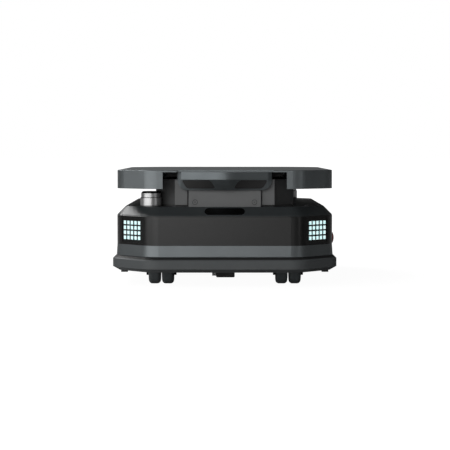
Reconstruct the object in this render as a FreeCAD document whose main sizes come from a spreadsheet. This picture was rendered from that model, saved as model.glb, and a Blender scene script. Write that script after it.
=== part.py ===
import FreeCAD, Part
import math
import os
import re

import Sketcher

# A low lifting robot that drives under a load and raises its deck. Millimetres, +Z up, the front faces -Y,
# and the origin is on the floor under the middle of the machine.

SIZES = {
    # Plan outline that every ring of the chassis follows: flat front and sides with cut corners.
    "half_width": (240, "side panel to the centre line"),
    "half_length": (343.5, "front panel to the centre line"),
    "half_flat": (163.5, "half of the flat front, corner to centre line"),
    "corner_angle": (47.3, "cut corner, turned from the front face, degrees"),
    "corner_radius": (45, "rounding of the panel's upright corners"),
    # Heights of the stacked rings, from the floor up.
    "ground_clearance": (33, "floor to the base plate"),
    "bumper_height": (33, "bumper, lip to lip"),
    "band_height": (25.5, "lower band"),
    "panel_height": (64, "panel wrap"),
    "bevel_height": (20, "top cover, foot to flat top"),
    # Bumper, band, panel and cover walls.
    "bumper_reach": (10, "bumper face outside the panel"),
    "bumper_inset": (7, "bumper's inner wall inside the panel face"),
    "bumper_top_drop": (7, "height of the bumper's upper slope"),
    "bumper_top_run": (8.5, "depth of the bumper's upper slope"),
    "bumper_foot_rise": (8, "height of the bumper's lower slope"),
    "bumper_foot_run": (14, "depth of the bumper's lower slope"),
    "band_reach": (1.5, "band's foot outside the panel"),
    "band_wall": (3, "band wall"),
    "band_lip": (2, "upright foot of the band"),
    "band_edge": (1.2, "bevel under the band's foot"),
    "panel_wall": (3, "panel wall"),
    "panel_edge": (0.7, "bevel round the panel's upper edge"),
    "cover_inset": (0.7, "cover's edge inside the panel face"),
    "bevel_run": (18.6, "width of the cover's sloping edge"),
    "cover_wall": (2.5, "cover wall"),
    "cover_edge": (1.2, "rounding between bevel and flat top"),
    "seat_gap": (0.2, "gap round a piece that sits in another"),
    "swing_gap": (0.3, "gap between faces that move past each other"),
    "bore_gap": (0.05, "radial gap of a shaft in its bore"),
    "overrun": (3, "how far a cut runs past its piece"),
    "round_slack": (1.001, "half rounds are drawn this much larger, so that they stay arcs"),
    # Base plate and frame.
    "plate_thickness": (4, "base plate"),
    "wheel_gap": (5, "gap round the drive wheels"),
    "rail_side_step": (26, "frame rail inside the side panel"),
    "rail_width": (18, "frame tube width"),
    "rail_height": (24, "frame tube height"),
    "frame_gap": (3, "frame end to the caster wells"),
    "saddle_half_width": (50, "half width of the hanging saddle"),
    "saddle_level": (112, "underside of the saddle"),
    "saddle_thickness": (6, "saddle plate"),
    "saddle_leg": (10, "saddle's upright legs"),
    # Corner light windows.
    "led_width": (74, "window along the cut corner"),
    "led_height": (54, "window height"),
    "led_corner": (4, "window's corner radius"),
    "led_recess": (0.6, "window face behind the panel face"),
    "led_cell": (8.1, "side of one light tile"),
    "led_pitch": (12.2, "tile columns, centre to centre"),
    "led_row_pitch": (11.1, "tile rows, centre to centre"),
    "led_shift": (3.5, "tiles set towards the side of the machine"),
    # Camera slot in the cover's front bevel.
    "slot_length": (88, "slot, end to end"),
    "slot_height": (20.5, "slot, along the slope"),
    "slot_round": (10, "rounding of the slot's ends"),
    "slot_recess": (0.3, "slot window behind the slope"),
    # Tower between the cover and the deck.
    "tower_side_step": (87, "tower side inside the side panel"),
    "tower_end_step": (43.5, "tower end inside the front panel"),
    "tower_corner": (44, "tower's cut corner along each face"),
    "tower_height": (59.5, "tower above the cover"),
    "tower_wall": (3, "tower wall at its foot"),
    "nut_clearance": (1, "gap round the nut tube"),
    "opening_margin": (4, "cover's opening beyond the bushes"),
    "opening_corner": (8, "corner radius of the cover's opening"),
    "tower_radius": (4, "rounding of the tower's upright edges"),
    "plinth_inset": (4, "shadow gap at the tower's foot"),
    "plinth_height": (4, "height of the shadow gap"),
    "front_plate_half": (79, "half width of the tower's front plate"),
    "front_plate_depth": (14, "front plate thickness"),
    "side_plate_gap": (3, "groove beside the front plate"),
    "side_plate_width": (27, "side plate"),
    "side_plate_depth": (8, "side plate thickness"),
    "screw_reach": (65, "front plate screw to the centre line"),
    "screw_level": (10, "front plate screw above the cover"),
    "screw_head": (5.8, "screw head radius"),
    "screw_head_height": (1.8, "screw head height"),
    "screw_shank": (3, "screw shank radius"),
    "screw_socket": (2.3, "hexagon socket radius"),
    "screw_seat_gap": (0.4, "gap round the screw heads"),
    # Sensor nose on the tower's front.
    "nose_reach": (31, "nose tip ahead of the front plate"),
    "nose_half_width": (103, "nose end to the centre line"),
    "nose_angle": (16, "facet turned back from the front, degrees"),
    "nose_tip_half": (25, "half width of the rounded tip"),
    "nose_facet_half": (95, "facet's outer edge to the centre line"),
    "nose_cheek": (6, "depth of the short face beyond the facet"),
    "chin_reach": (9, "tip of the nose's lower edge ahead of the front plate"),
    "chin_half": (14, "half width of the rounded tip below"),
    "chin_radius": (150, "rounding of the tip below"),
    "chin_end_reach": (2, "facet end at the lower edge, ahead of the front plate"),
    "chin_cheek": (1, "depth of the short face at the lower edge"),
    "nose_chin": (23.5, "height of the sloping lower part"),
    "nose_brow": (16, "height of the upright upper part"),
    "nose_corner": (22, "rounding of the lower corners"),
    "nose_gap": (0.5, "gap between the nose and the plate tops"),
    "eye_inner": (19.5, "camera window's lower inner corner"),
    "eye_outer": (83, "camera window's lower outer corner"),
    "eye_lean": (11.5, "lean of the window's ends"),
    "eye_foot": (3.6, "window above the nose's lower edge"),
    "eye_height": (18.6, "window height"),
    "eye_radius": (3, "rounding of the window's sharp corners"),
    "eye_blunt": (11, "rounding of the window's blunt corners"),
    "eye_recess": (0.6, "window face behind the nose face"),
    "eye_depth": (3, "window pocket depth"),
    # Scanners on two opposite corners of the cover.
    "lidar_side_step": (77, "scanner axis inside the side panel"),
    "lidar_end_step": (64, "scanner axis inside the front panel"),
    "lidar_radius": (23.4, "scanner's lower barrel"),
    "lidar_neck": (21.6, "scanner's upper barrel"),
    "lidar_step": (19.6, "height of the lower barrel"),
    "lidar_shoulder": (1, "slope between the barrels"),
    "lidar_groove": (0.5, "depth of the groove under the slope"),
    "lidar_rim": (29.2, "height of the cap's seat"),
    "lidar_height": (33.4, "scanner height"),
    "lidar_bevel": (3.8, "cap's sloping edge"),
    # Lift deck.
    "deck_gap": (39.3, "deck skirt above the cover, lowered"),
    "deck_height": (40.8, "skirt height"),
    "deck_wall": (4.2, "deck plate and skirt"),
    "deck_edge": (1.6, "rounding of the deck's upper edge"),
    "deck_side_step": (1, "deck side inside the side panel"),
    "deck_end_step": (13.5, "deck end inside the front panel"),
    "deck_half_flat": (164, "half of the deck's flat end"),
    "deck_angle": (39, "deck's cut corner, degrees"),
    "deck_radius": (45, "rounding of the deck's upright corners"),
    "skirt_gate_half": (135.3, "half width of the skirt's front opening"),
    "notch_half": (105.2, "half width of the plate's notch"),
    "notch_depth": (32.5, "notch, from the deck's front edge"),
    "rib_height": (10.9, "deck frame under the plate"),
    "rib_half_width": (130, "deck frame side to the centre line"),
    "rib_end_step": (65, "deck frame end inside the deck's edge"),
    "rib_width": (34, "deck frame members"),
    "bay_corner": (6, "corner radius of the frame's bays"),
    "nut_land": (8, "frame left round the nut's flange"),
    "post_x": (105, "lift post to the centre line"),
    "post_step": (13, "lift post beyond the frame's end"),
    "post_radius": (10, "lift post"),
    "post_length": (112, "lift post"),
    "bush_radius": (16, "bush barrel"),
    "bush_flange": (21, "bush flange radius"),
    "bush_flange_height": (3, "bush flange"),
    "bush_length": (38, "bush, flange to foot"),
    "nut_radius": (25, "nut tube, outside"),
    "nut_bore": (15, "nut tube, inside"),
    "nut_height": (24, "threaded length of the nut"),
    "nut_length": (76, "nut tube, flange to foot"),
    "nut_flange": (40, "nut flange radius"),
    "nut_flange_height": (4, "nut flange"),
    "screw_radius": (10, "lead screw"),
    "screw_journal": (8, "lead screw's lower journal"),
    "screw_collar": (14, "lead screw's collar"),
    "screw_collar_height": (6, "lead screw's collar height"),
    "screw_end_gap": (3, "lead screw's end below the deck plate"),
    "screw_chamfer": (2, "bevel on the lead screw's end"),
    "motor_radius": (38, "lift motor"),
    "motor_height": (60, "lift motor"),
    "motor_edge": (4, "bevel round the motor's foot"),
    "motor_flange": (12, "motor flange height"),
    "motor_groove": (4, "width of the groove below the flange"),
    "motor_groove_depth": (6, "depth of that groove"),
    # Drive wheels on sprung arms.
    "drive_side_step": (72.5, "drive wheel centre inside the side panel"),
    "drive_radius": (75, "drive wheel"),
    "tyre_width": (28, "drive tyre"),
    "tyre_shoulder": (5, "tyre's rounded shoulder"),
    "hub_radius": (56, "hub motor"),
    "hub_dish": (3, "depth of the hub's dished face"),
    "hub_rim": (8, "width of the hub's rim"),
    "hub_step": (1, "hub's rim inside the tyre's face"),
    "hub_boss": (18, "radius of the hub's boss"),
    "axle_radius": (10, "drive axle"),
    "axle_cap": (15, "axle cap radius"),
    "axle_cap_height": (3, "axle cap, with the gap behind it"),
    "arm_step": (27.5, "arm's inner face inside the wheel centre"),
    "arm_thickness": (10, "arm plate"),
    "arm_pivot": (95, "arm pivot behind the wheel axle"),
    "arm_eye": (16, "arm's pivot eye radius"),
    "arm_seat": (98, "spring seat ahead of the wheel axle"),
    "arm_depth": (20, "half depth of the arm at the axle"),
    "arm_nose_drop": (6, "arm below the axle at the spring seat"),
    "arm_nose_rise": (10, "arm above the axle at the spring seat"),
    "pivot_radius": (6, "pivot pin"),
    "ear_thickness": (11, "bracket ear"),
    "ear_margin": (3, "ear beyond the arm's eye at the foot"),
    "ear_slot_rise": (8, "slot beyond the arm's eye"),
    "bracket_gap": (4, "bracket post to the spring seat"),
    "bracket_wall": (8, "bracket post"),
    "bracket_roof": (6, "bracket's roof over the spring"),
    "spring_radius": (14, "buffer spring"),
    "spring_waist": (11, "buffer spring's waist"),
    "spring_height": (48, "buffer spring"),
    "seat_radius": (16, "spring seat radius"),
    "seat_height": (6, "spring seat height"),
    # Twin-wheel casters.
    "caster_side_step": (98, "caster inside the side panel"),
    "caster_end_step": (91.5, "caster swivel axis inside the front panel"),
    "caster_trail": (22, "wheel axle behind the swivel axis"),
    "caster_radius": (32, "caster wheel"),
    "caster_width": (26.7, "one caster wheel"),
    "caster_split": (3, "gap between the twin wheels"),
    "caster_side_gap": (0.8, "caster wheel to fork leg"),
    "caster_shoulder": (8, "wheel's rounded shoulder"),
    "caster_axle": (5, "caster axle radius"),
    "fork_leg": (4.5, "fork leg thickness"),
    "fork_eye": (13.5, "fork's lower end radius"),
    "fork_half": (20, "half length of the fork's crown"),
    "fork_crown": (68, "underside of the fork's crown"),
    "crown_radius": (30, "swivel disc"),
    "crown_height": (8, "swivel disc height"),
    "stem_radius": (10, "swivel stem"),
    "stem_nut": (15, "swivel nut radius"),
    "stem_nut_height": (7, "swivel nut height"),
    "well_reach": (65, "caster well's flat sides to its middle"),
    "well_wall": (3, "caster well wall"),
    "well_ceiling": (86, "caster well's ceiling above the floor"),
    "well_top": (4, "caster well's top"),
    # Emergency stop on the right side.
    "estop_end_step": (173.5, "emergency stop behind the front panel"),
    "estop_z": (100, "emergency stop above the floor"),
    "estop_flange": (8.2, "collar flange radius"),
    "estop_flange_height": (1.5, "collar flange"),
    "estop_barrel": (5.9, "collar barrel radius"),
    "estop_block": (10, "contact block radius"),
    "estop_block_depth": (16, "contact block depth"),
    "estop_stem": (4, "stem radius"),
    "estop_foot": (2, "stem's foot beyond the stem"),
    "estop_foot_height": (3, "stem's foot"),
    "estop_travel": (2.5, "push travel"),
    "estop_radius": (12, "mushroom head radius"),
    "estop_edge": (1.8, "mushroom head's straight edge"),
    "estop_dome": (3, "height of the mushroom head's dome"),
    # Power button on the cover.
    "power_side_step": (58, "power button inside the side panel"),
    "power_end_step": (111.5, "power button behind the front panel"),
    "bezel_radius": (8, "bezel radius"),
    "bezel_height": (1, "bezel above the cover"),
    "bezel_taper": (0.4, "lean of the bezel's edge"),
    "bezel_barrel": (6.8, "bezel barrel radius"),
    "bezel_nut": (9, "bezel nut radius"),
    "bezel_nut_height": (3, "bezel nut"),
    "power_radius": (5.4, "button radius"),
    "power_edge": (0.5, "bevel on the button"),
    "power_foot": (1.4, "button's foot beyond the button"),
    "power_foot_height": (3, "button's foot"),
    "power_proud": (0.8, "button above the bezel"),
    # Sensors, battery, controls and charging.
    "floor_sensor_step": (143.5, "floor sensor behind the front panel"),
    "floor_sensor_width": (42, "floor sensor"),
    "floor_sensor_length": (30, "floor sensor"),
    "floor_sensor_height": (21, "floor sensor below the base plate"),
    "floor_sensor_edge": (3, "rounding round the sensor's foot"),
    "floor_sensor_x": (1.5, "floor sensor off the centre line"),
    "lamp_width": (9, "floor lamp"),
    "lamp_length": (18, "floor lamp"),
    "lamp_height": (17.5, "floor lamp below the base plate"),
    "drop_sensor_side_step": (15.2, "edge sensor inside the side panel"),
    "drop_sensor_end_step": (107.5, "edge sensor inside the front panel"),
    "drop_sensor_size": (14.5, "edge sensor"),
    "drop_sensor_height": (6, "edge sensor below the base plate"),
    "pack_half_width": (105, "battery and controller, half width"),
    "pack_near": (45, "battery and controller, inner end"),
    "pack_gap": (3, "battery and controller, to the frame"),
    "pack_height": (68, "battery and controller height"),
    "pack_corner": (6, "rounding of the packs' upright edges"),
    "contact_width": (40, "charging strip"),
    "contact_height": (8, "charging strip"),
    "contact_pitch": (20, "charging strips, centre to centre"),
    "contact_level": (118, "charging strips above the floor"),
    "contact_proud": (1, "charging strip outside the panel"),
}

doc = FreeCAD.newDocument("lifting_robot")
sheet = doc.addObject("Spreadsheet::Sheet", "dims")
for row, (alias, (number, meaning)) in enumerate(SIZES.items(), start=1):
    sheet.set(f"A{row}", meaning)
    sheet.set(f"B{row}", str(number))
    sheet.setAlias(f"B{row}", alias)
doc.recompute()

# Levels and places that several pieces share, each worked out from the sizes.
PLACES = {
    "plate_top": "ground_clearance + plate_thickness",
    "band_foot": "ground_clearance + bumper_height",
    "panel_foot": "band_foot + band_height",
    "cover_foot": "panel_foot + panel_height",
    "cover_top": "cover_foot + bevel_height",
    "cover_ceiling": "cover_top - cover_wall",
    "tower_top": "cover_top + tower_height",
    "brow_foot": "tower_top + nose_gap",
    "chin_foot": "brow_foot - nose_chin",
    "skirt_foot": "cover_top + deck_gap",
    "deck_top": "skirt_foot + deck_height",
    "plate_underside": "deck_top - deck_wall",
    "rib_foot": "plate_underside - rib_height",
    "rail_outer": "half_width - rail_side_step",
    "rail_inner": "rail_outer - rail_width",
    "pack_far": "frame_inner - pack_gap",
    "caster_x": "half_width - caster_side_step",
    "caster_y": "half_length - caster_end_step",
    "frame_half_length": "caster_y - well_reach - well_wall - frame_gap",
    "frame_inner": "frame_half_length - rail_width",
    "drive_x": "half_width - drive_side_step",
    "arm_face": "drive_x - arm_step",
    "arm_far": "arm_face + arm_thickness",
    "hub_far": "drive_x + tyre_width / 2",
    "pivot_bore": "pivot_radius + bore_gap",
    "spring_foot": "drive_radius + arm_nose_rise + seat_height",
    "lidar_x": "half_width - lidar_side_step",
    "lidar_y": "half_length - lidar_end_step",
    "tower_half_width": "half_width - tower_side_step",
    "tower_half_length": "half_length - tower_end_step",
    "plate_front": "tower_half_length + front_plate_depth",
    "nose_front": "plate_front + nose_reach",
    "tip_radius": "nose_tip_half / sin(nose_angle)",
    "tip_edge": "nose_front - tip_radius * (1 - cos(nose_angle))",
    "facet_edge": "tip_edge - (nose_facet_half - nose_tip_half) * tan(nose_angle)",
    "chin_edge": "plate_front + chin_reach - chin_half ^ 2 / (2 * chin_radius)",
    "chin_back": "plate_front + chin_end_reach",
    "deck_half_width": "half_width - deck_side_step",
    "deck_half_length": "half_length - deck_end_step",
    "rib_half_length": "deck_half_length - rib_end_step",
    "bay_half_width": "rib_half_width - rib_width - bay_corner",
    "post_y": "frame_half_length + post_step",
    "screw_foot": "saddle_level + saddle_thickness + swing_gap",
    "screw_length": "plate_underside - screw_end_gap - screw_foot",
    "power_x": "half_width - power_side_step",
    "power_y": "power_end_step - half_length",
    "estop_y": "estop_end_step - half_length",
    "floor_sensor_y": "floor_sensor_step - half_length",
    "drop_sensor_x": "half_width - drop_sensor_side_step",
    "drop_sensor_y": "half_length - drop_sensor_end_step",
}

LEFT = -1
RIGHT = 1
FRONT = -1
REAR = 1
SIDES = {"left": LEFT, "right": RIGHT}
ENDS = {"front": FRONT, "rear": REAR}
WELL_SIDES = 8
TILE_COLUMNS = 5
TILE_ROWS = 4
SPRING_FOLDS = 4
UP = FreeCAD.Vector(0, 0, 1)
TO_X = FreeCAD.Rotation(FreeCAD.Vector(0, 1, 0), 90)
TO_FRONT = FreeCAD.Rotation(FreeCAD.Vector(1, 0, 0), 90)
SLOPE = FreeCAD.Rotation(FreeCAD.Vector(1, 0, 0), 45)

nodes = []


def formula(text):
    """Writes out the places in a formula, and points each size at its cell in the sheet."""
    def cell(word):
        name = word[0]
        if name in PLACES:
            return f"({formula(PLACES[name])})"
        return f"dims.{name}" if name in SIZES else name
    return re.sub(r"[a-z]\w*", cell, text)


def value(text):
    """The number that a formula gives."""
    return float(sheet.evalExpression(formula(text)))


def node(item, label):
    """Names an object as one of the robot's pieces."""
    item.Label = label
    nodes.append(item)
    return item


def place(item, x="0", y="0", z="0", turn=None):
    """Sets an object's place by formulas, and its turn."""
    if turn is not None:
        item.Placement = FreeCAD.Placement(FreeCAD.Vector(), turn)
    for axis, text in zip("xyz", (x, y, z)):
        item.setExpression(f"Placement.Base.{axis}", formula(text))
    return item


def new_body(label, is_node=True):
    made = doc.addObject("PartDesign::Body", label)
    return node(made, label) if is_node else made


def new_sketch(body, plane, lift="0", shift=None, turn=None):
    """A sketch on one of the body's origin planes, raised along its normal or set by shift and turn."""
    made = body.newObject("Sketcher::SketchObject", f"{body.Name}_sketch")
    support = next(item for item in body.Origin.OriginFeatures if item.Role == f"{plane}_Plane")
    made.AttachmentSupport = [(support, "")]
    made.MapMode = "FlatFace"
    if turn is not None:
        made.AttachmentOffset = FreeCAD.Placement(FreeCAD.Vector(), turn)
    for axis, text in zip("xyz", shift or ("0", "0", lift)):
        made.setExpression(f"AttachmentOffset.Base.{axis}", formula(text))
    return made


def bind(sketch, kind, *where, text):
    """Adds a size to a sketch and ties it to the sheet."""
    index = sketch.addConstraint(Sketcher.Constraint(kind, *where, value(text)))
    sketch.setExpression(f"Constraints[{index}]", formula(text))


def draw(sketch, corners):
    """Closes an outline drawn anticlockwise. A corner is (x, y), or (x, y, radius) where an arc starts that
    bulges out, with a minus sign before the radius where the arc is hollow."""
    first = sketch.GeometryCount
    spots = [FreeCAD.Vector(value(x), value(y), 0) for x, y, *_ in corners]
    ends = []
    for index, (start, corner) in enumerate(zip(spots, corners)):
        end = spots[(index + 1) % len(spots)]
        if len(corner) == 2:
            sketch.addGeometry(Part.LineSegment(start, end))
            ends.append((1, 2))
            continue
        radius = value(corner[2])
        bulge = math.copysign(1, radius)
        chord = end - start
        rise = math.sqrt(max(radius ** 2 - (chord.Length / 2) ** 2, 0))
        centre = (start + end) / 2 + FreeCAD.Vector(-chord.y, chord.x, 0) / chord.Length * rise * bulge
        angles = [math.atan2(spot.y - centre.y, spot.x - centre.x) for spot in (start, end)]
        if bulge < 0:
            angles.reverse()
        circle = Part.Circle(centre, UP, abs(radius))
        sketch.addGeometry(Part.ArcOfCircle(circle, angles[0], angles[1]))
        ends.append((1, 2) if bulge > 0 else (2, 1))
    count = len(corners)
    for index in range(count):
        after = (index + 1) % count
        sketch.addConstraint(
            Sketcher.Constraint("Coincident", first + index, ends[index][1], first + after, ends[after][0]))
    for index, corner in enumerate(corners):
        bind(sketch, "DistanceX", -1, 1, first + index, ends[index][0], text=corner[0])
        bind(sketch, "DistanceY", -1, 1, first + index, ends[index][0], text=corner[1])
        if len(corner) == 3:
            bind(sketch, "Radius", first + index, text=corner[2].lstrip("-"))
    return sketch


def circles(sketch, radius, centres):
    for x, y in centres:
        index = sketch.addGeometry(Part.Circle(FreeCAD.Vector(value(x), value(y), 0), UP, value(radius)))
        bind(sketch, "DistanceX", -1, 1, index, 3, text=x)
        bind(sketch, "DistanceY", -1, 1, index, 3, text=y)
        bind(sketch, "Radius", index, text=radius)
    return sketch


def rectangle(x0, y0, x1, y1):
    return [(x0, y0), (x1, y0), (x1, y1), (x0, y1)]


def rounded(x0, y0, x1, y1, radius):
    """A rectangle whose corners are quarter rounds."""
    return [
        (f"({x0}) + {radius}", y0), (f"({x1}) - {radius}", y0, radius),
        (x1, f"({y0}) + {radius}"), (x1, f"({y1}) - {radius}", radius),
        (f"({x1}) - {radius}", y1), (f"({x0}) + {radius}", y1, radius),
        (x0, f"({y1}) - {radius}"), (x0, f"({y0}) + {radius}", radius),
    ]


def octagon(inset, width="half_width", length="half_length", flat="half_flat", angle="corner_angle"):
    """A rectangle with cut corners, every face moved in by the same amount."""
    side = f"({width} - ({inset}))"
    end = f"({length} - ({inset}))"
    near = f"({flat} - ({inset}) * tan({angle} / 2))"
    shoulder = f"({length} - ({width} - {flat}) * tan({angle}) - ({inset}) * tan(45 - {angle} / 2))"
    return [
        (near, f"-{end}"), (side, f"-{shoulder}"), (side, shoulder), (near, end),
        (f"-{near}", end), (f"-{side}", shoulder), (f"-{side}", f"-{shoulder}"), (f"-{near}", f"-{end}"),
    ]


def well_outline(x, y, reach):
    """A regular octagon round a caster, with flat sides facing front and rear."""
    half = f"({reach}) * tan(180 / {WELL_SIDES})"
    near = [(half, f"-({reach})"), (f"({reach})", f"-{half}"), (f"({reach})", half), (half, f"({reach})")]
    far = [(f"-{across}", f"-{along}".replace("--", "")) for across, along in near]
    return [(f"{x} + {across}", f"{y} + {along}") for across, along in near + far]


def feature(body, kind, name, **sizes):
    """Adds a PartDesign feature. A text is a formula, and anything else is set as it is."""
    made = body.newObject(f"PartDesign::{kind}", f"{body.Name}_{name}")
    for key, setting in sizes.items():
        if isinstance(setting, str) and not hasattr(made, "Transformations") and key != "ChamferType":
            made.setExpression(key, formula(setting))
        else:
            setattr(made, key, setting)
    body.Tip = made
    doc.recompute()
    return made


def pad(body, sketch, length, **more):
    return feature(body, "Pad", "pad", Profile=sketch, Length=length, **more)


def pocket(body, sketch, length, **more):
    return feature(body, "Pocket", "pocket", Profile=sketch, Length=length, **more)


def turned(body, corners):
    """A solid of revolution about the body's Z axis, from a profile of radii and heights."""
    sketch = draw(new_sketch(body, "XZ"), corners)
    return feature(body, "Revolution", "turned", Profile=sketch, ReferenceAxis=(sketch, ["V_Axis"]), Angle=360)


def edges(item, wanted):
    return [f"Edge{index}" for index, edge in enumerate(item.Shape.Edges, start=1) if wanted(edge)]


def faces(item, wanted):
    return [f"Face{index}" for index, face in enumerate(item.Shape.Faces, start=1) if wanted(face)]


def runs_along(axis):
    """Picks straight edges that run within a few degrees of an axis."""
    def wanted(edge):
        if not isinstance(edge.Curve, Part.Line):
            return False
        run = edge.Vertexes[-1].Point - edge.Vertexes[0].Point
        return abs(run.normalize().dot(axis)) > 0.99
    return wanted


def round_uprights(body, item, radius):
    return feature(body, "Fillet", "round", Base=(item, edges(item, runs_along(UP))), Radius=radius)


def outer_loop(item, level):
    """The edges round the outside of the flat face at one level."""
    face = next(each for each in item.Shape.Faces
                if abs(each.BoundBox.ZMin - level) < 1e-4 and abs(each.BoundBox.ZMax - level) < 1e-4)
    rim = face.OuterWire.Edges
    return edges(item, lambda edge: any(edge.isSame(other) for other in rim))


def hollow(body, item, wall, levels):
    """Turns a solid into a wall of even thickness, open at the flat faces on the levels given."""
    open_faces = faces(item, lambda face: any(
        abs(face.BoundBox.ZMin - level) < 1e-4 and abs(face.BoundBox.ZMax - level) < 1e-4 for level in levels))
    return feature(body, "Thickness", "wall", Base=(item, open_faces), Value=wall, Reversed=True)


def ring(label, inset, wall, foot, height, is_node=True):
    """A closed wall on the chassis outline, open above and below."""
    body = new_body(label, is_node)
    solid = pad(body, draw(new_sketch(body, "XY", foot), octagon(inset)), height)
    solid = round_uprights(body, solid, f"corner_radius - ({inset})")
    return body, hollow(body, solid, wall, (value(foot), value(f"{foot} + {height}")))


def box_between(body, x, y, z):
    """Adds a block between two formulas on each axis."""
    sketch = draw(new_sketch(body, "XY", z[0]), rectangle(x[0], y[0], x[1], y[1]))
    return pad(body, sketch, f"({z[1]}) - ({z[0]})")


def boolean(kind, label, base, tool, is_node=True):
    made = doc.addObject(f"Part::{kind}", label)
    made.Base = base
    made.Tool = tool
    doc.recompute()
    return node(made, label) if is_node else made


def mirrored_span(side, near, far):
    """Where a slice that runs from near to far beside the centre line starts, on the side given."""
    return near if side == RIGHT else f"-({far})"


def corner_spots(x, y):
    return [(f"{across} * {x}", f"{along} * {y}") for along in (FRONT, REAR) for across in (LEFT, RIGHT)]


# Base plate: a flat steel plate with wells for the casters and slots for the drive wheels.
def base_plate():
    body = new_body("base_plate")
    outline = octagon("bumper_inset + seat_gap")
    solid = pad(body, draw(new_sketch(body, "XY", "ground_clearance"), outline), "plate_thickness")
    round_uprights(body, solid, "corner_radius - bumper_inset - seat_gap")
    cuts = new_sketch(body, "XY", "plate_top")
    for x, y in corner_spots("caster_x", "caster_y"):
        draw(cuts, well_outline(x, y, "well_reach"))
    for side in SIDES.values():
        near = "drive_x - tyre_width / 2 - wheel_gap"
        far = "hub_far + wheel_gap"
        draw(cuts, rounded(mirrored_span(side, near, far), "-drive_radius", mirrored_span(side, far, near),
                           "drive_radius", "wheel_gap"))
    pocket(body, cuts, "plate_thickness + overrun")


# Frame: welded square tube under the cover, with a saddle that hangs across the middle for the lift.
def chassis_frame():
    body = new_body("chassis_frame")
    for foot in ("plate_top", "cover_ceiling - rail_height"):
        plan = draw(new_sketch(body, "XY", foot),
                    rectangle("-rail_outer", "-frame_half_length", "rail_outer", "frame_half_length"))
        draw(plan, rectangle("-rail_inner", "-frame_inner", "rail_inner", "frame_inner"))
        pad(body, plan, "rail_height")
    leg_foot = "cover_ceiling - rail_height"
    for across in SIDES.values():
        for along in ENDS.values():
            x = mirrored_span(across, "rail_inner", "rail_outer")
            y = mirrored_span(along, "frame_inner", "frame_half_length")
            box_between(body, (x, f"{x} + rail_width"), (y, f"{y} + rail_width"),
                        ("plate_top + rail_height", leg_foot))
    saddle_top = "saddle_level + saddle_thickness"
    saddle = draw(new_sketch(body, "YZ", "-saddle_half_width"), [
        ("-frame_inner", "saddle_level"), ("frame_inner", "saddle_level"), ("frame_inner", leg_foot),
        ("frame_inner - saddle_leg", leg_foot), ("frame_inner - saddle_leg", saddle_top),
        ("saddle_leg - frame_inner", saddle_top), ("saddle_leg - frame_inner", leg_foot),
        ("-frame_inner", leg_foot)])
    pad(body, saddle, "2 * saddle_half_width")
    for along in ENDS.values():
        foot = mirrored_span(along, "frame_inner - saddle_leg", "frame_half_length")
        box_between(body, ("-saddle_half_width", "saddle_half_width"),
                    (foot, f"{foot} + rail_width + saddle_leg"),
                    (leg_foot, f"{leg_foot} + saddle_thickness"))
    bearing = circles(new_sketch(body, "XY", saddle_top), "screw_journal + bore_gap", [("0", "0")])
    pocket(body, bearing, "saddle_thickness + overrun")


# Caster wells: four welded eight-sided cups that close the plate over each caster and carry its swivel.
def caster_wells():
    body = new_body("caster_wells")
    spots = corner_spots("caster_x", "caster_y")
    outside = new_sketch(body, "XY", "plate_top")
    inside = new_sketch(body, "XY", "plate_top")
    for x, y in spots:
        draw(outside, well_outline(x, y, "well_reach + well_wall"))
    pad(body, outside, "well_ceiling + well_top - plate_top")
    for x, y in spots:
        draw(inside, well_outline(x, y, "well_reach"))
    pocket(body, inside, "well_ceiling - plate_top", Reversed=True)
    pocket(body, circles(new_sketch(body, "XY", "well_ceiling"), "stem_radius + bore_gap", spots),
           "well_top + overrun", Reversed=True)


# Bumper: a soft rubber strip round the whole foot, sloped above and below its upright face.
def bumper_ring():
    body, wall = ring("bumper_ring", "-bumper_reach", "bumper_reach + bumper_inset", "ground_clearance",
                      "bumper_height")
    upper = feature(body, "Chamfer", "upper", Base=(wall, outer_loop(wall, value("band_foot"))),
                    ChamferType="Two distances", Size="bumper_top_drop", Size2="bumper_top_run")
    feature(body, "Chamfer", "lower", Base=(upper, outer_loop(upper, value("ground_clearance"))),
            ChamferType="Two distances", Size="bumper_foot_rise", Size2="bumper_foot_run")


# Lower band: a painted steel wall that leans in slightly towards its top.
def lower_band():
    body, wall = ring("lower_band", "-band_reach", "band_wall", "band_foot", "band_height")
    lean = feature(body, "Chamfer", "lean", Base=(wall, outer_loop(wall, value("panel_foot"))),
                   ChamferType="Two distances", Size="band_height - band_lip", Size2="band_reach")
    feature(body, "Chamfer", "seam", Base=(lean, outer_loop(lean, value("band_foot"))), Size="band_edge")


# Panel wrap: the gloss wall with openings for the corner windows, the emergency stop and the contacts.
def corner_frame(item, across, along):
    """Sets a piece at the middle of a cut corner, its -Y side facing out and its origin on the panel face."""
    mid_x = f"{across} * (half_width + half_flat) / 2"
    mid_y = f"{along} * (half_length - (half_width - half_flat) * tan(corner_angle) / 2)"
    angle = f"{across} * corner_angle" if along == FRONT else f"180 - {across} * corner_angle"
    item.Placement = FreeCAD.Placement(FreeCAD.Vector(), FreeCAD.Rotation(UP, value(angle)))
    item.setExpression("Placement.Rotation.Angle", formula(angle))
    return place(item, mid_x, mid_y, "panel_foot + panel_height / 2")


def window_plate(label, margin, front, back, is_node=True):
    """A rounded plate whose faces lie front and back behind the panel face."""
    body = new_body(label, is_node)
    outline = rounded(f"-(led_width / 2 - {margin})", f"-(led_height / 2 - {margin})",
                      f"led_width / 2 - {margin}", f"led_height / 2 - {margin}", "led_corner")
    pad(body, draw(new_sketch(body, "XZ", f"-({front})"), outline), f"({back}) - ({front})", Reversed=True)
    return body


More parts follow.
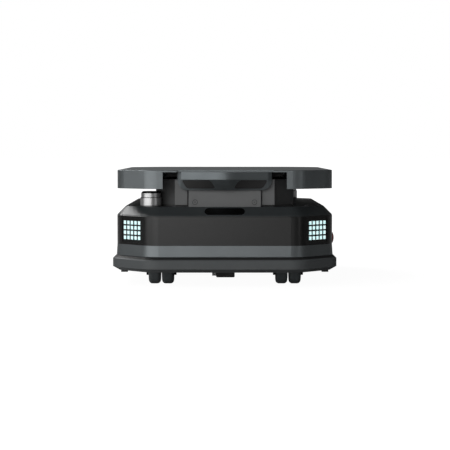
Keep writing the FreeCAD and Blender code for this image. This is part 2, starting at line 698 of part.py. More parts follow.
def tiles(label, outward):
    """Rows of square light tiles that stand on a corner window. Outward is its sideways direction."""
    body = new_body(label, False)
    left = f"{outward} * led_shift - ({TILE_COLUMNS - 1} * led_pitch + led_cell) / 2"
    low = f"-({TILE_ROWS - 1} * led_row_pitch + led_cell) / 2"
    sketch = draw(new_sketch(body, "XZ"), rectangle(left, low, f"{left} + led_cell", f"{low} + led_cell"))
    tile = pad(body, sketch, "led_recess", Reversed=True)
    rows = feature(body, "LinearPattern", "rows", Originals=[tile], Direction=(sketch, ["H_Axis"]),
                   Direction2=(sketch, ["V_Axis"]))
    rows.Occurrences = TILE_COLUMNS
    rows.Occurrences2 = TILE_ROWS
    rows.setExpression("Length", formula(f"{TILE_COLUMNS - 1} * led_pitch"))
    rows.setExpression("Length2", formula(f"{TILE_ROWS - 1} * led_row_pitch"))
    doc.recompute()
    return body


def corner_lights():
    """Makes the windows and tiles, and gives the openings that they need in the panel."""
    openings = []
    rear = {"led_windows_rear": [], "led_tiles_rear": []}
    for end, along in ENDS.items():
        for name, across in SIDES.items():
            spot = f"{end}_{name}"
            window = window_plate(f"led_window_{spot}", "seat_gap", "led_recess", "panel_wall", along == FRONT)
            cells = tiles(f"led_tiles_{spot}", -across * along)
            opening = window_plate(f"led_opening_{spot}", "0", "-overrun", "panel_wall + overrun", False)
            for item in (window, cells, opening):
                corner_frame(item, across, along)
            openings.append(opening)
            if along == FRONT:
                node(cells, f"led_tiles_{spot}")
            else:
                rear["led_windows_rear"].append(window)
                rear["led_tiles_rear"].append(cells)
    for label, pair in rear.items():
        both = node(doc.addObject("Part::Compound", label), label)
        both.Links = pair
    return openings


def rear_strips(label, front, back, margin, is_node):
    """Two upright strips side by side at the rear, or the slots that they stand in."""
    body = new_body(label, is_node)
    sketch = new_sketch(body, "XZ", f"-({front})")
    for step in (-1, 1):
        middle = f"(contact_level + {step} * contact_pitch / 2)"
        draw(sketch, rectangle(f"-contact_width / 2 - {margin}", f"{middle} - contact_height / 2 - {margin}",
                               f"contact_width / 2 + {margin}", f"{middle} + contact_height / 2 + {margin}"))
    pad(body, sketch, f"({back}) - ({front})", Reversed=True)
    return body


def estop_hole():
    made = doc.addObject("Part::Cylinder", "estop_hole")
    made.setExpression("Radius", formula("estop_barrel + seat_gap"))
    made.setExpression("Height", formula("panel_wall + 2 * overrun"))
    return place(made, "half_width - panel_wall - overrun", "estop_y", "estop_z", TO_X)


def panel_wrap():
    body, wall = ring("panel_ring", "0", "panel_wall", "panel_foot", "panel_height", is_node=False)
    feature(body, "Chamfer", "edge", Base=(wall, outer_loop(wall, value("cover_foot"))), Size="panel_edge")
    slots = rear_strips("contact_slots", "half_length - panel_wall - overrun", "half_length + overrun",
                        "seat_gap", False)
    cutters = doc.addObject("Part::MultiFuse", "panel_cutters")
    cutters.Shapes = [*corner_lights(), slots, estop_hole()]
    boolean("Cut", "panel_wrap", body, cutters)
    rear_strips("charge_contacts", "half_length - panel_wall", "half_length + contact_proud", "0", True)


# Top cover: a moulded shell with a broad 45 degree bevel, and a camera window let into its front.
BEVEL_MIDDLE = ("0", "-(half_length - cover_inset - bevel_run / 2)", "cover_top - bevel_run / 2")


def slot_outline(margin):
    half = f"(slot_length / 2 - {margin})"
    rise = f"(slot_height / 2 - {margin})"
    return rounded(f"-{half}", f"-{rise}", half, rise, f"(slot_round - {margin})")


def top_cover():
    body = new_body("top_cover")
    solid = pad(body, draw(new_sketch(body, "XY", "cover_foot"), octagon("cover_inset")), "bevel_height")
    solid = round_uprights(body, solid, "corner_radius - cover_inset")
    solid = feature(body, "Chamfer", "bevel", Base=(solid, outer_loop(solid, value("cover_top"))),
                    Size="bevel_run")
    shell = hollow(body, solid, "cover_wall", (value("cover_foot"),))
    feature(body, "Fillet", "edge", Base=(shell, outer_loop(shell, value("cover_top"))), Radius="cover_edge")
    side = "(post_x + bush_radius + opening_margin)"
    end = "(post_y + bush_radius + opening_margin)"
    holes = draw(new_sketch(body, "XY", "cover_top"),
                 rounded(f"-{side}", f"-{end}", side, end, "opening_corner"))
    circles(holes, "bezel_barrel + seat_gap", [("power_x", "power_y")])
    pocket(body, holes, "cover_wall + overrun")
    slot = draw(new_sketch(body, "XY", shift=BEVEL_MIDDLE, turn=SLOPE), slot_outline("0"))
    pocket(body, slot, "cover_wall + overrun")
    window = new_body("bevel_window")
    face = draw(new_sketch(window, "XY", shift=BEVEL_MIDDLE, turn=SLOPE), slot_outline("seat_gap"))
    pad(window, face, "cover_wall", Reversed=True)
    front = draw(new_sketch(window, "XY", shift=BEVEL_MIDDLE, turn=SLOPE), slot_outline("0"))
    pocket(window, front, "slot_recess")


# Tower: the fixed housing between cover and deck, on a set-back plinth, with plates on its front.
def tower_outline(inset):
    return octagon(inset, "tower_half_width", "tower_half_length", "(tower_half_width - tower_corner)", "45")


def tower_housing():
    body = new_body("tower_housing")
    solid = pad(body, draw(new_sketch(body, "XY", "cover_top + plinth_height"), tower_outline("0")),
                "tower_height - plinth_height")
    round_uprights(body, solid, "tower_radius")
    pad(body, draw(new_sketch(body, "XY", "cover_top"), tower_outline("plinth_inset")), "plinth_height")
    inside = draw(new_sketch(body, "XY", "cover_top"), tower_outline("plinth_inset + tower_wall"))
    pocket(body, inside, "tower_height - tower_wall", Reversed=True)
    holes = circles(new_sketch(body, "XY", "tower_top"), "bush_radius + seat_gap",
                    corner_spots("post_x", "post_y"))
    circles(holes, "nut_radius + nut_clearance", [("0", "0")])
    pocket(body, holes, "tower_wall + overrun")


def tower_plates():
    front = new_body("tower_front_plate")
    face = draw(new_sketch(front, "XZ", "tower_half_length"),
                rectangle("-front_plate_half", "cover_top", "front_plate_half", "tower_top"))
    pad(front, face, "front_plate_depth")
    spots = [(f"{side} * screw_reach", "cover_top + screw_level") for side in SIDES.values()]
    seats = circles(new_sketch(front, "XZ", "plate_front"), "screw_head + screw_seat_gap", spots)
    pocket(front, seats, "screw_head_height")
    shanks = circles(new_sketch(front, "XZ", "plate_front"), "screw_shank + seat_gap", spots)
    pocket(front, shanks, "front_plate_depth + overrun")
    sides = new_body("tower_side_plates")
    near = "(front_plate_half + side_plate_gap)"
    face = new_sketch(sides, "XZ", "tower_half_length")
    for side in SIDES.values():
        start = mirrored_span(side, near, f"{near} + side_plate_width")
        draw(face, rectangle(start, "cover_top + plinth_height", f"{start} + side_plate_width", "tower_top"))
    pad(sides, face, "side_plate_depth")
    screws = new_body("tower_screws")
    heads = circles(new_sketch(screws, "XZ", "plate_front - screw_head_height"), "screw_head", spots)
    pad(screws, heads, "screw_head_height")
    rods = circles(new_sketch(screws, "XZ", "tower_half_length"), "screw_shank", spots)
    pad(screws, rods, "front_plate_depth - screw_head_height")
    sockets = circles(new_sketch(screws, "XZ", "plate_front"), "screw_socket", spots)
    pocket(screws, sockets, "screw_head_height / 2")


# Sensor nose: a faceted head on the tower's front, upright above and undercut below, with two windows.
def nose_plan(half, radius, tip, facet, cheek, back):
    """The nose's plan: a rounded tip, a facet on each side, a short cheek and a flat back."""
    return [
        (f"-{half}", f"-{tip}", radius), (half, f"-{tip}"), ("nose_facet_half", f"-{facet}"),
        ("nose_half_width", f"-{cheek}"), ("nose_half_width", f"-{back}"), ("-nose_half_width", f"-{back}"),
        ("-nose_half_width", f"-{cheek}"), ("-nose_facet_half", f"-{facet}"),
    ]


def nose_brow_plan(shift, back):
    return nose_plan("nose_tip_half", "tip_radius", f"(tip_edge - {shift})", f"(facet_edge - {shift})",
                     f"(facet_edge - nose_cheek - {shift})", back)


def nose_chin(body, shift):
    """The undercut lower part, set back by shift, with both lower corners rounded away."""
    back = f"(plate_front - {shift})"
    foot = nose_plan("chin_half", "chin_radius", f"(chin_edge - {shift})", f"(chin_back - {shift})",
                     f"(chin_back - chin_cheek - {shift})", back)
    upper = draw(new_sketch(body, "XY", "brow_foot"), nose_brow_plan(shift, back))
    lower = draw(new_sketch(body, "XY", "chin_foot"), foot)
    feature(body, "AdditiveLoft", "chin", Profile=lower, Sections=[upper], Ruled=True)
    for side in SIDES.values():
        inner = f"{side} * (nose_half_width - nose_corner)"
        face = f"{side} * nose_half_width"
        outer = f"{side} * (nose_half_width + overrun)"
        below = "chin_foot - overrun"
        level = "chin_foot + nose_corner"
        outline = [(inner, below), (outer, below), (outer, level), (face, level, "-nose_corner"),
                   (inner, "chin_foot")]
        if side == LEFT:
            outline = [(inner, "chin_foot", "-nose_corner"), (face, level), (outer, level), (outer, below),
                       (inner, below)]
        corner = draw(new_sketch(body, "XZ", "nose_front + overrun"), outline)
        pocket(body, corner, "nose_front - tower_half_length + 2 * overrun")


def eye_prism(label, side, margin):
    """A leaning rounded outline run through the nose from front to back."""
    body = new_body(label, False)
    low = f"chin_foot + eye_foot + {margin}"
    high = f"chin_foot + eye_foot + eye_height - {margin}"
    outline = [
        (f"{side} * (eye_inner + {margin})", low), (f"{side} * (eye_outer - {margin})", low),
        (f"{side} * (eye_outer + eye_lean - {margin})", high),
        (f"{side} * (eye_inner + eye_lean + {margin})", high),
    ]
    if side == LEFT:
        outline.reverse()
    solid = pad(body, draw(new_sketch(body, "XZ", "nose_front + overrun"), outline),
                "nose_front + overrun - tower_half_length - front_plate_depth / 2", Reversed=True)
    limits = solid.Shape.BoundBox
    runs_back = runs_along(FreeCAD.Vector(0, 1, 0))

    def is_sharp(edge):
        x = edge.Vertexes[0].X
        return min(abs(x - limits.XMin), abs(x - limits.XMax)) < 1e-4

    blunt = edges(solid, lambda edge: runs_back(edge) and not is_sharp(edge))
    eased = feature(body, "Fillet", "blunt", Base=(solid, blunt), Radius=f"eye_blunt - {margin}")
    sharp = edges(eased, lambda edge: runs_back(edge) and is_sharp(edge))
    feature(body, "Fillet", "sharp", Base=(eased, sharp), Radius=f"eye_radius - {margin}")
    return body


def sensor_nose():
    whole = new_body("nose_block", False)
    nose_chin(whole, "0")
    brow = draw(new_sketch(whole, "XY", "brow_foot"), nose_brow_plan("0", "(tower_half_length - seat_gap)"))
    pad(whole, brow, "nose_brow")
    face = new_body("nose_face", False)
    nose_chin(face, "eye_recess")
    floor = new_body("nose_floor", False)
    nose_chin(floor, "eye_depth")
    prisms = doc.addObject("Part::MultiFuse", "eye_openings")
    prisms.Shapes = [eye_prism(f"eye_opening_{name}", side, "0") for name, side in SIDES.items()]
    pockets = boolean("Cut", "eye_pockets", prisms, floor, False)
    boolean("Cut", "nose_housing", whole, pockets)
    plate = boolean("Cut", "eye_plate", face, floor, False)
    for name, side in SIDES.items():
        boolean("Common", f"nose_window_{name}", plate, eye_prism(f"eye_{name}", side, "seat_gap"))


# Scanners: stepped barrels with a bevelled cap, on two opposite corners of the cover.
def scanners():
    for name, across, along in (("front", LEFT, FRONT), ("rear", RIGHT, REAR)):
        barrel = new_body(f"lidar_{name}_body")
        turned(barrel, [("0", "0"), ("lidar_radius", "0"), ("lidar_radius", "lidar_step - 2 * lidar_groove"),
                        ("lidar_radius - lidar_groove", "lidar_step - lidar_groove"),
                        ("lidar_radius", "lidar_step"), ("lidar_neck", "lidar_step + lidar_shoulder"),
                        ("lidar_neck", "lidar_rim"), ("0", "lidar_rim")])
        cap = new_body(f"lidar_{name}_cap")
        turned(cap, [("0", "lidar_rim"), ("lidar_neck", "lidar_rim"),
                     ("lidar_neck", "lidar_height - lidar_bevel"),
                     ("lidar_neck - lidar_bevel", "lidar_height"), ("0", "lidar_height")])
        for item in (barrel, cap):
            place(item, f"{across} * lidar_x", f"{along} * lidar_y", "cover_top")


# Lift deck: plate and skirt in one shell, cut away round the nose, on a ribbed frame with four posts.
def deck_shell():
    body = new_body("deck_shell")
    outline = octagon("0", "deck_half_width", "deck_half_length", "deck_half_flat", "deck_angle")
    solid = pad(body, draw(new_sketch(body, "XY", "skirt_foot"), outline), "deck_height")
    solid = round_uprights(body, solid, "deck_radius")
    shell = hollow(body, solid, "deck_wall", (value("skirt_foot"),))
    feature(body, "Fillet", "edge", Base=(shell, outer_loop(shell, value("deck_top"))), Radius="deck_edge")
    gate = draw(new_sketch(body, "XZ", "deck_half_length + overrun"),
                rectangle("-skirt_gate_half", "skirt_foot - overrun", "skirt_gate_half", "plate_underside"))
    pocket(body, gate, "deck_wall + 2 * overrun")
    notch = draw(new_sketch(body, "XY", "deck_top"),
                 rectangle("-notch_half", "-(deck_half_length + overrun)", "notch_half",
                           "-(deck_half_length - notch_depth)"))
    pocket(body, notch, "deck_wall + overrun")


def deck_frame():
    body = new_body("deck_frame")
    plan = draw(new_sketch(body, "XY", "rib_foot"),
                rectangle("-rib_half_width", "-rib_half_length", "rib_half_width", "rib_half_length"))
    pad(body, plan, "rib_height")
    bays = new_sketch(body, "XY", "plate_underside")
    inner = "(nut_flange + nut_land)"
    outer = "(rib_half_length - rib_width)"
    cross_near = f"(({inner} + {outer}) / 2 - rib_width / 4)"
    cross_far = f"(({inner} + {outer}) / 2 + rib_width / 4)"
    for along in ENDS.values():
        for near, far in ((inner, cross_near), (cross_far, outer)):
            draw(bays, rounded("-bay_half_width", mirrored_span(along, near, far), "bay_half_width",
                               mirrored_span(along, far, near), "bay_corner"))
    pocket(body, bays, "rib_height + overrun")
    nut_hole = circles(new_sketch(body, "XY", "plate_underside"), "nut_bore", [("0", "0")])
    pocket(body, nut_hole, "rib_height + overrun")


def lift_column():
    posts = new_body("lift_posts")
    pad(posts, circles(new_sketch(posts, "XY", "rib_foot - post_length"), "post_radius",
                       corner_spots("post_x", "post_y")), "post_length")
    bushes = new_body("lift_bushes")
    spots = corner_spots("post_x", "post_y")
    flanges = circles(new_sketch(bushes, "XY", "tower_top"), "bush_flange", spots)
    pad(bushes, flanges, "bush_flange_height")
    barrels = circles(new_sketch(bushes, "XY", "tower_top - bush_length"), "bush_radius", spots)
    pad(bushes, barrels, "bush_length")
    bores = circles(new_sketch(bushes, "XY", "tower_top + bush_flange_height"), "post_radius + bore_gap",
                    spots)
    pocket(bushes, bores, "bush_length + bush_flange_height + overrun")
    nut = place(new_body("lift_nut"), z="rib_foot - nut_length")
    thread = "(screw_radius + bore_gap)"
    turned(nut, [(thread, "0"), ("nut_radius", "0"), ("nut_radius", "nut_length - nut_flange_height"),
                 ("nut_flange", "nut_length - nut_flange_height"), ("nut_flange", "nut_length"),
                 ("nut_bore", "nut_length"), ("nut_bore", "nut_height"), (thread, "nut_height")])
    screw = place(new_body("lift_screw"), z="screw_foot")
    journal = "-(saddle_thickness + swing_gap) + seat_gap"
    turned(screw, [("0", journal), ("screw_journal", journal), ("screw_journal", "0"), ("screw_collar", "0"),
                   ("screw_collar", "screw_collar_height"), ("screw_radius", "screw_collar_height"),
                   ("screw_radius", "screw_length - screw_chamfer"),
                   ("screw_radius - screw_chamfer", "screw_length"), ("0", "screw_length")])
    motor = place(new_body("lift_motor"), z="saddle_level - motor_height")
    flange_foot = "(motor_height - motor_flange)"
    groove_foot = f"({flange_foot} - motor_groove)"
    waist = "(motor_radius - motor_groove_depth)"
    turned(motor, [("0", "0"), ("motor_radius - motor_edge", "0"), ("motor_radius", "motor_edge"),
                   ("motor_radius", groove_foot), (waist, groove_foot), (waist, flange_foot),
                   ("motor_radius", flange_foot), ("motor_radius", "motor_height"), ("0", "motor_height")])


# Drive units: hub motors with rubber tyres, each on a pivoted arm that a buffer spring presses down.
def drive_arm(name, side):
    arm = new_body(f"drive_arm_{name}")
    seat_front = "-arm_seat - seat_radius"
    seat_rear = "-arm_seat + seat_radius"
    nose_foot = "drive_radius - arm_nose_drop"
    nose_top = "drive_radius + arm_nose_rise"
    plate_start = mirrored_span(side, "arm_face", "arm_far")
    plan = draw(new_sketch(arm, "YZ", plate_start), [
        (seat_front, nose_foot), (seat_rear, nose_foot), ("-arm_depth", "drive_radius - arm_depth"),
        ("arm_depth", "drive_radius - arm_depth"),
        ("arm_pivot", "drive_radius - arm_eye", "arm_eye * round_slack"),
        ("arm_pivot", "drive_radius + arm_eye"),
        ("arm_depth", "drive_radius + arm_depth"), ("-arm_depth", "drive_radius + arm_depth"),
        (seat_rear, nose_top), (seat_front, nose_top),
    ])
    pad(arm, plan, "arm_thickness")
    eye = circles(new_sketch(arm, "YZ", f"{plate_start} - overrun"), "pivot_bore",
                  [("arm_pivot", "drive_radius")])
    pocket(arm, eye, "arm_thickness + 2 * overrun", Reversed=True)
    cap_near = "hub_far + swing_gap"
    axle = circles(new_sketch(arm, "YZ", mirrored_span(side, "arm_far", cap_near)), "axle_radius",
                   [("0", "drive_radius")])
    pad(arm, axle, f"{cap_near} - arm_far")
    cap_start = mirrored_span(side, cap_near, "hub_far + axle_cap_height")
    cap = circles(new_sketch(arm, "YZ", cap_start), "axle_cap", [("0", "drive_radius")])
    pad(arm, cap, "axle_cap_height - swing_gap")
    seat = circles(new_sketch(arm, "XY", nose_top), "seat_radius",
                   [(f"{side} * (arm_face + arm_thickness / 2)", "-arm_seat")])
    pad(arm, seat, "seat_height")


def drive_wheel(name, side):
    hub = new_body(f"drive_hub_{name}")
    half = "(tyre_width / 2 - hub_step)"
    bore = "(axle_radius + bore_gap)"
    dish = f"({half} - hub_dish)"
    rim = "(hub_radius - hub_rim)"
    turned(hub, [
        (bore, "-tyre_width / 2"), ("hub_boss", "-tyre_width / 2"), ("hub_boss", f"-{dish}"),
        (rim, f"-{dish}"), (rim, f"-{half}"), ("hub_radius", f"-{half}"), ("hub_radius", half), (rim, half),
        (rim, dish), ("hub_boss", dish), ("hub_boss", "tyre_width / 2"), (bore, "tyre_width / 2")])
    tyre = new_body(f"drive_tyre_{name}")
    shoulder = "(drive_radius - tyre_shoulder)"
    turned(tyre, [
        ("hub_radius", "-tyre_width / 2"), (shoulder, "-tyre_width / 2", "tyre_shoulder"),
        ("drive_radius", "tyre_shoulder - tyre_width / 2"),
        ("drive_radius", "tyre_width / 2 - tyre_shoulder", "tyre_shoulder"), (shoulder, "tyre_width / 2"),
        ("hub_radius", "tyre_width / 2")])
    for item in (hub, tyre):
        place(item, f"{side} * drive_x", "0", "drive_radius", TO_X)


def buffer_spring(name, side):
    spring = place(new_body(f"suspension_spring_{name}"), f"{side} * (arm_face + arm_thickness / 2)",
                   "-arm_seat", "spring_foot")
    profile = [("0", "0"), ("spring_radius", "0")]
    for fold in range(SPRING_FOLDS):
        profile.append(("spring_waist", f"spring_height * {(fold + 0.5) / SPRING_FOLDS}"))
        profile.append(("spring_radius", f"spring_height * {(fold + 1) / SPRING_FOLDS}"))
    turned(spring, [*profile, ("0", "spring_height")])


def suspension_brackets():
    body = new_body("suspension_brackets")
    near = "(arm_face - swing_gap - ear_thickness)"
    far = "(arm_far + swing_gap + ear_thickness)"
    post_rear = "-arm_seat - seat_radius - bracket_gap"
    post_front = f"{post_rear} - bracket_wall"
    roof_rear = "-arm_seat + seat_radius"
    roof_foot = "spring_foot + spring_height"
    roof_top = f"{roof_foot} + bracket_roof"
    for side in SIDES.values():
        start = mirrored_span(side, near, far)
        ear = draw(new_sketch(body, "YZ", start), [
            ("arm_pivot - arm_eye - ear_margin", "plate_top"),
            ("arm_pivot + arm_eye + ear_margin", "plate_top"),
            ("arm_pivot + arm_eye", "drive_radius", "arm_eye * round_slack"),
            ("arm_pivot - arm_eye", "drive_radius"),
        ])
        pad(body, ear, f"{far} - {near}")
        slot_start = mirrored_span(side, "arm_face - swing_gap", "arm_far + swing_gap")
        slot = draw(new_sketch(body, "YZ", slot_start), rectangle(
            "arm_pivot - arm_eye - ear_slot_rise", "drive_radius - arm_eye - ear_margin",
            "arm_pivot + arm_eye + ear_slot_rise", "drive_radius + arm_eye + ear_slot_rise"))
        pocket(body, slot, "arm_thickness + 2 * swing_gap", Reversed=True)
        pin = circles(new_sketch(body, "YZ", start), "pivot_radius", [("arm_pivot", "drive_radius")])
        pad(body, pin, f"{far} - {near}")
        post = draw(new_sketch(body, "YZ", start), [
            (post_front, "plate_top"), (post_rear, "plate_top"), (post_rear, roof_foot),
            (roof_rear, roof_foot), (roof_rear, roof_top), (post_front, roof_top),
        ])
        pad(body, post, f"{far} - {near}")


# Casters: a swivel fork with its stem, and twin wheels on a riveted axle that trails the stem.
def caster(name, across, along):
    fork = new_body(f"caster_fork_{name}")
    leg_inner = "(caster_width + caster_split / 2 + caster_side_gap)"
    leg_outer = f"({leg_inner} + fork_leg)"
    crown_top = "(well_ceiling - swing_gap)"
    disc_foot = f"({crown_top} - crown_height)"
    side_view = draw(new_sketch(fork, "YZ", f"-{leg_outer}"), [
        ("-fork_half", disc_foot), ("-fork_half", "fork_crown"),
        ("caster_trail - fork_eye", "caster_radius", "fork_eye * round_slack"),
        ("caster_trail + fork_eye", "caster_radius"), ("caster_trail + fork_eye", disc_foot),
    ])
    pad(fork, side_view, f"2 * {leg_outer}")
    throat = draw(new_sketch(fork, "YZ", f"-{leg_inner}"),
                  rectangle("-fork_half - overrun", "0", "caster_trail + fork_eye + overrun", "fork_crown"))
    pocket(fork, throat, f"2 * {leg_inner}", Reversed=True)
    axle = circles(new_sketch(fork, "YZ", f"-{leg_outer}"), "caster_axle",
                   [("caster_trail", "caster_radius")])
    pad(fork, axle, f"2 * {leg_outer}")
    pad(fork, circles(new_sketch(fork, "XY", disc_foot), "crown_radius", [("0", "0")]), "crown_height")
    stem_top = "(well_ceiling + well_top + swing_gap + stem_nut_height)"
    pad(fork, circles(new_sketch(fork, "XY", crown_top), "stem_radius", [("0", "0")]),
        f"{stem_top} - {crown_top}")
    cap = circles(new_sketch(fork, "XY", f"{stem_top} - stem_nut_height"), "stem_nut", [("0", "0")])
    pad(fork, cap, "stem_nut_height")
    place(fork, f"{across} * caster_x", f"{along} * caster_y")

    wheels = new_body(f"caster_wheels_{name}")
    bore = "(caster_axle + bore_gap)"
    shoulder = "(caster_radius - caster_shoulder)"
    sketch = new_sketch(wheels, "XZ")
    for step in (-1, 1):
        low = "caster_split / 2" if step > 0 else "-(caster_split / 2 + caster_width)"
        high = f"({low}) + caster_width"
        draw(sketch, [
            (bore, low), (shoulder, low, "caster_shoulder"), ("caster_radius", f"({low}) + caster_shoulder"),
            ("caster_radius", f"({high}) - caster_shoulder", "caster_shoulder"), (shoulder, high),
            (bore, high)])
    feature(wheels, "Revolution", "turned", Profile=sketch, ReferenceAxis=(sketch, ["V_Axis"]), Angle=360)
    place(wheels, f"{across} * caster_x", f"{along} * caster_y + caster_trail", "caster_radius", TO_X)


# Emergency stop: a collar through the right side panel, a sliding stem and a head that twists to release.
def emergency_stop():
    block_foot = "-(panel_wall + estop_block_depth)"
    bore = "(estop_stem + bore_gap)"
    head_foot = "(estop_flange_height + estop_travel + swing_gap)"
    tip = f"({head_foot} + estop_edge)"
    collar = new_body("estop_collar")
    turned(collar, [
        (bore, block_foot), ("estop_block", block_foot), ("estop_block", "-panel_wall"),
        ("estop_barrel", "-panel_wall"), ("estop_barrel", "0"), ("estop_flange", "0"),
        ("estop_flange", "estop_flange_height"), (bore, "estop_flange_height")])
    stem = new_body("estop_stem")
    turned(stem, [
        ("0", f"{block_foot} - estop_foot_height"),
        ("estop_stem + estop_foot", f"{block_foot} - estop_foot_height"),
        ("estop_stem + estop_foot", f"{block_foot} - swing_gap"), ("estop_stem", f"{block_foot} - swing_gap"),
        ("estop_stem", tip), ("0", tip)])
    head = new_body("estop_head")
    dome_radius = "((estop_radius ^ 2 + estop_dome ^ 2) / (2 * estop_dome))"
    turned(head, [
        (bore, head_foot), ("estop_radius", head_foot), ("estop_radius", tip, dome_radius),
        ("0", f"{tip} + estop_dome"), ("0", f"{tip} + swing_gap"), (bore, f"{tip} + swing_gap")])
    for item in (collar, stem, head):
        place(item, "half_width", "estop_y", "estop_z", TO_X)


# Power button: a metal bezel through the cover, held by a nut, and a short sprung button.
def power_button():
    bezel = new_body("power_button_bezel")
    bore = "(power_radius + bore_gap)"
    nut_foot = "-(cover_wall + bezel_nut_height)"
    turned(bezel, [
        (bore, nut_foot), ("bezel_nut", nut_foot), ("bezel_nut", "-cover_wall"),
        ("bezel_barrel", "-cover_wall"), ("bezel_barrel", "0"), ("bezel_radius", "0"),
        ("bezel_radius - bezel_taper", "bezel_height"), (bore, "bezel_height")])
    button = new_body("power_button")
    top = "(bezel_height + power_proud)"
    turned(button, [
        ("0", f"{nut_foot} - power_foot_height"),
        ("power_radius + power_foot", f"{nut_foot} - power_foot_height"),
        ("power_radius + power_foot", f"{nut_foot} - swing_gap"), ("power_radius", f"{nut_foot} - swing_gap"),
        ("power_radius", f"{top} - power_edge"), ("power_radius - power_edge", top), ("0", top)])
    for item in (bezel, button):
        place(item, "power_x", "power_y", "cover_top")


# Sensors under the base plate, and the packs that fill the middle of the frame.
def underside_sensors():
    sensor = new_body("floor_sensor")
    solid = box_between(
        sensor, ("floor_sensor_x - floor_sensor_width / 2", "floor_sensor_x + floor_sensor_width / 2"),
        ("floor_sensor_y - floor_sensor_length / 2", "floor_sensor_y + floor_sensor_length / 2"),
        ("ground_clearance - floor_sensor_height", "ground_clearance"))
    feature(sensor, "Fillet", "round", Base=(solid, outer_loop(solid, solid.Shape.BoundBox.ZMin)),
            Radius="floor_sensor_edge")
    lamp = new_body("floor_lamp")
    lamp_x = "floor_sensor_x - floor_sensor_width / 2"
    box_between(lamp, (f"{lamp_x} - lamp_width", lamp_x),
                ("floor_sensor_y - lamp_length / 2", "floor_sensor_y + lamp_length / 2"),
                ("ground_clearance - lamp_height", "ground_clearance"))
    drops = new_body("drop_sensors")
    plan = new_sketch(drops, "XY", "ground_clearance - drop_sensor_height")
    for x, y in corner_spots("drop_sensor_x", "drop_sensor_y"):
        draw(plan, rectangle(f"{x} - drop_sensor_size / 2", f"{y} - drop_sensor_size / 2",
                             f"{x} + drop_sensor_size / 2", f"{y} + drop_sensor_size / 2"))
    pad(drops, plan, "drop_sensor_height")


def inner_packs():
    for name, along in (("control_box", FRONT), ("battery_pack", REAR)):
        body = new_body(name)
        start = mirrored_span(along, "pack_near", "pack_far")
        solid = box_between(body, ("-pack_half_width", "pack_half_width"),
                            (start, f"({start}) + pack_far - pack_near"),
                            ("plate_top", "plate_top + pack_height"))
        round_uprights(body, solid, "pack_corner")


base_plate()
chassis_frame()
caster_wells()
bumper_ring()
lower_band()
panel_wrap()
top_cover()
tower_housing()
tower_plates()
sensor_nose()
scanners()
deck_shell()
deck_frame()
lift_column()
for side_name, side_sign in SIDES.items():
    drive_arm(side_name, side_sign)
    drive_wheel(side_name, side_sign)
    buffer_spring(side_name, side_sign)
suspension_brackets()
for end_name, end_sign in ENDS.items():
    for side_name, side_sign in SIDES.items():
        caster(f"{end_name}_{side_name}", side_sign, end_sign)
emergency_stop()
power_button()
underside_sensors()
inner_packs()

doc.recompute()
for item in doc.Objects:
    if "Invalid" in item.State or "Error" in item.State:
        raise RuntimeError(f"{item.Label} failed: {item.State}")
for item in nodes:
    if item.Shape.isNull() or not item.Shape.isValid() or not item.Shape.Solids:
        raise RuntimeError(f"{item.Label} has no valid solid")

os.makedirs("parts", exist_ok=True)
for item in nodes:
    item.Shape.exportStep(f"parts/{item.Label}.step")
print(f"{len(nodes)} pieces written")
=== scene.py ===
import math

import bpy
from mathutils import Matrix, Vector


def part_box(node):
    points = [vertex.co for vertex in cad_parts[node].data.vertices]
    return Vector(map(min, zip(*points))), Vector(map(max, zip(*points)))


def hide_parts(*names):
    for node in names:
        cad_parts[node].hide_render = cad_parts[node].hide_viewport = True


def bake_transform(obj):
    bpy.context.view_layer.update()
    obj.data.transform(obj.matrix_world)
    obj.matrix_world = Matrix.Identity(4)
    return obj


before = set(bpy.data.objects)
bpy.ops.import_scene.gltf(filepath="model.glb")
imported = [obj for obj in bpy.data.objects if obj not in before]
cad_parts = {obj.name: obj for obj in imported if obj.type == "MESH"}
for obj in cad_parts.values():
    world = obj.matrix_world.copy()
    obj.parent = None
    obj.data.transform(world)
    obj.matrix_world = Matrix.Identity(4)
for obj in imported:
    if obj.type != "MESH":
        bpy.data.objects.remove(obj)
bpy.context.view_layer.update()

# The base plate, the welded frame and the four caster wells are steel, powder coated black before assembly.
# They carry everything else. The coating is matt, with a fine orange peel, and is rubbed brighter on edges.


class Signal:
    """A value or colour that a node gives. Signals and numbers add, subtract and multiply."""

    def __init__(self, surface, socket):
        self.surface = surface
        self.socket = socket

    def math(self, operation, *terms):
        return self.surface.node("ShaderNodeMath", {"operation": operation}, dict(enumerate(terms)))

    def __add__(self, other):
        return self.math("ADD", self, other)

    def __sub__(self, other):
        return self.math("SUBTRACT", self, other)

    def __rsub__(self, other):
        return self.math("SUBTRACT", other, self)

    def __mul__(self, other):
        return self.math("MULTIPLY", self, other)

    __radd__ = __add__
    __rmul__ = __mul__

    def __abs__(self):
        return self.math("ABSOLUTE", self)


